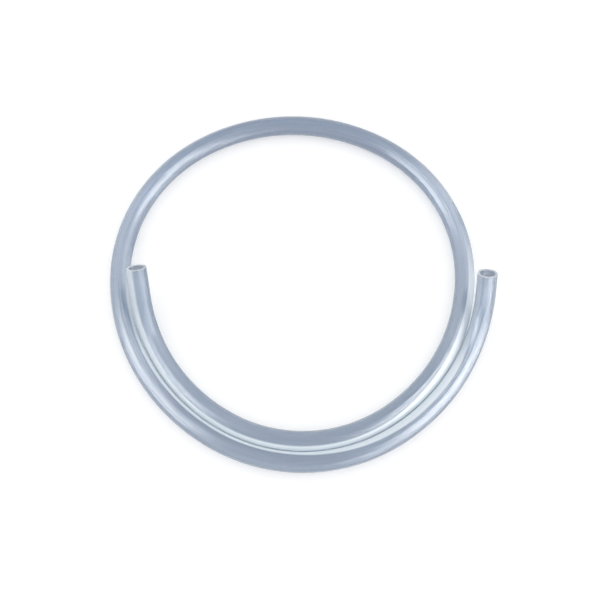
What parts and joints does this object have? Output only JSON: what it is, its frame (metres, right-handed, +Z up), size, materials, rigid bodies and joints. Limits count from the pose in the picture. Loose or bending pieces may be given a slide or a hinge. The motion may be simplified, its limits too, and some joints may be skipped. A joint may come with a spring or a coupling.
{
  "type": "siphon hose",
  "caption": "Clear flexible hose of a siphon for beer and wine, laid in a flat loose coil, with both square-cut open ends curling up.",
  "frame": {"origin": "middle of the coil's outline, on the surface that the coil rests on", "axes": "+Z up, +X towards the hose's right end, +Y the way that both open ends lead"},
  "size_m": [0.2314, 0.2292, 0.0369],
  "materials": {
    "clear_pvc": "clear gloss"
  },
  "bodies": {
    "root": {"hose_coil": "clear_pvc", "right_hose_end": "clear_pvc", "left_hose_end": "clear_pvc"}
  },
  "joints": []
}
